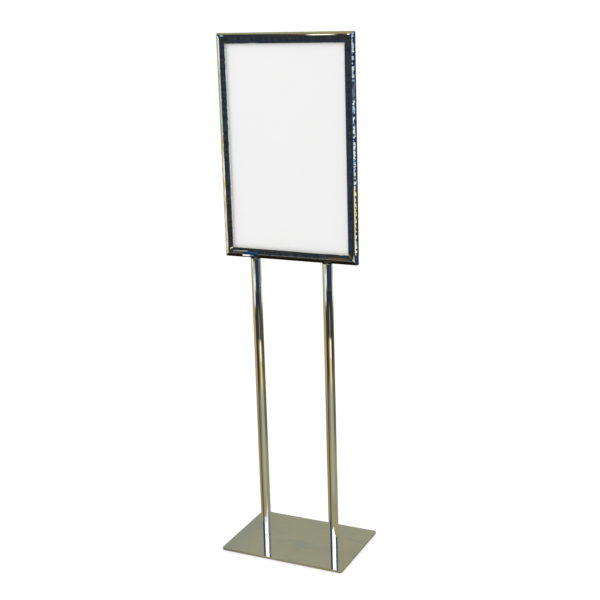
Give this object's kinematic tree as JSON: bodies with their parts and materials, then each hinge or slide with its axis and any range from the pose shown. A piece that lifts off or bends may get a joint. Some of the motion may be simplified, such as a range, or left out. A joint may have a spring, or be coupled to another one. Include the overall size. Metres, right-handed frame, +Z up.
{
  "type": "sign stand",
  "caption": "Floor sign stand: an upright slotted tube frame that holds a show card, on two round posts and a flat rectangular base plate.",
  "frame": {"origin": "on the floor, under the middle of the base plate", "axes": "+X to the right of a person who reads the card, +Y away from that person, +Z up"},
  "size_m": [0.381, 0.252, 1.38],
  "materials": {
    "chrome_plate": "polished, plated",
    "chrome_tube": "polished, plated",
    "zinc_steel": "bright zinc plated",
    "pad_rubber": "matte",
    "card_board": "smooth coated board"
  },
  "bodies": {
    "stand": {"base_plate": "chrome_plate", "front_left_pad": "pad_rubber", "front_right_pad": "pad_rubber", "rear_left_pad": "pad_rubber", "rear_right_pad": "pad_rubber", "left_base_screw": "zinc_steel", "left_post": "chrome_tube", "left_foot_insert": "zinc_steel", "left_head_insert": "zinc_steel", "left_frame_stud": "zinc_steel", "left_anchor_block": "zinc_steel", "left_stile": "chrome_tube", "right_base_screw": "zinc_steel", "right_post": "chrome_tube", "right_foot_insert": "zinc_steel", "right_head_insert": "zinc_steel", "right_frame_stud": "zinc_steel", "right_anchor_block": "zinc_steel", "right_stile": "chrome_tube", "bottom_rail": "chrome_tube", "top_rail": "chrome_tube"},
    "card": {"sign_card": "card_board"}
  },
  "joints": [
    {"name": "card_slide", "type": "slide", "parent": "stand", "child": "card", "axis": [0, 0, 1], "range_m": [0, 0.56]}
  ]
}
